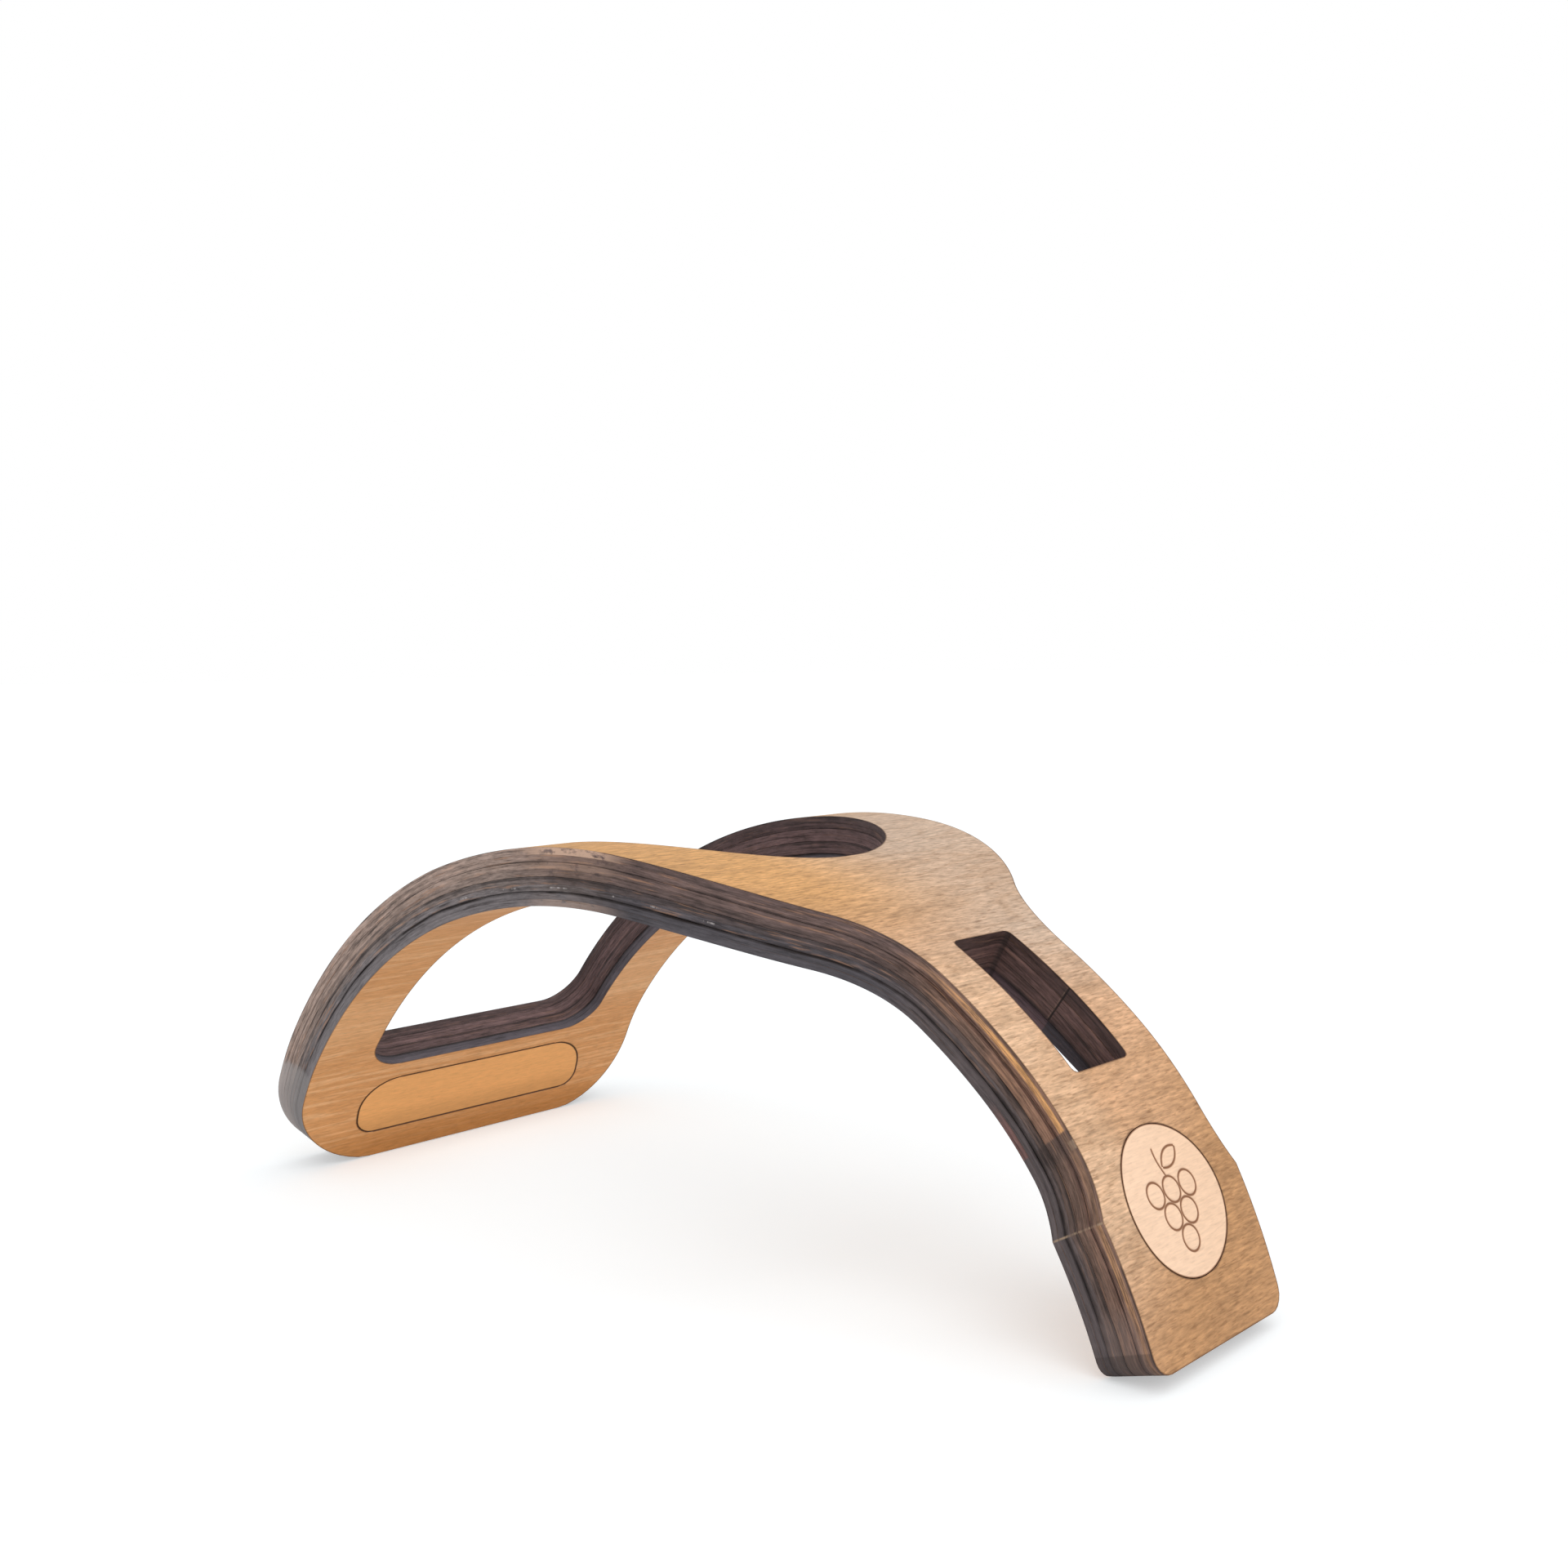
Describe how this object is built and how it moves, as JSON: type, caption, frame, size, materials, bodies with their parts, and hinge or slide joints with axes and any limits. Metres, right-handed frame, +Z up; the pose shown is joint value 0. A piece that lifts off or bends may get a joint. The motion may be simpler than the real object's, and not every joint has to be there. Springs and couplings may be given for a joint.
{
  "type": "wine bottle holder",
  "caption": "Bent plywood arch that cradles a wine bottle at a slant through a long hole, with a slotted leg, a round inlay on the leg and a plaque let into the wide foot.",
  "frame": {"origin": "centre of the footprint's bounding box, on the floor under the arch", "axes": "+X from the wide foot towards the slotted leg, +Y across the sheet, +Z up"},
  "size_m": [0.2736, 0.1144, 0.099],
  "materials": {
    "face_veneer": "satin",
    "core_veneer": "charred matte",
    "disc_inlay": "satin",
    "plaque_inlay": "satin"
  },
  "bodies": {
    "root": {"veneer_1": "face_veneer", "veneer_2": "core_veneer", "veneer_3": "core_veneer", "veneer_4": "core_veneer", "veneer_5": "core_veneer", "veneer_6": "core_veneer", "veneer_7": "core_veneer", "veneer_8": "face_veneer", "disc_inlay": "disc_inlay", "plaque_inlay": "plaque_inlay"}
  },
  "joints": []
}
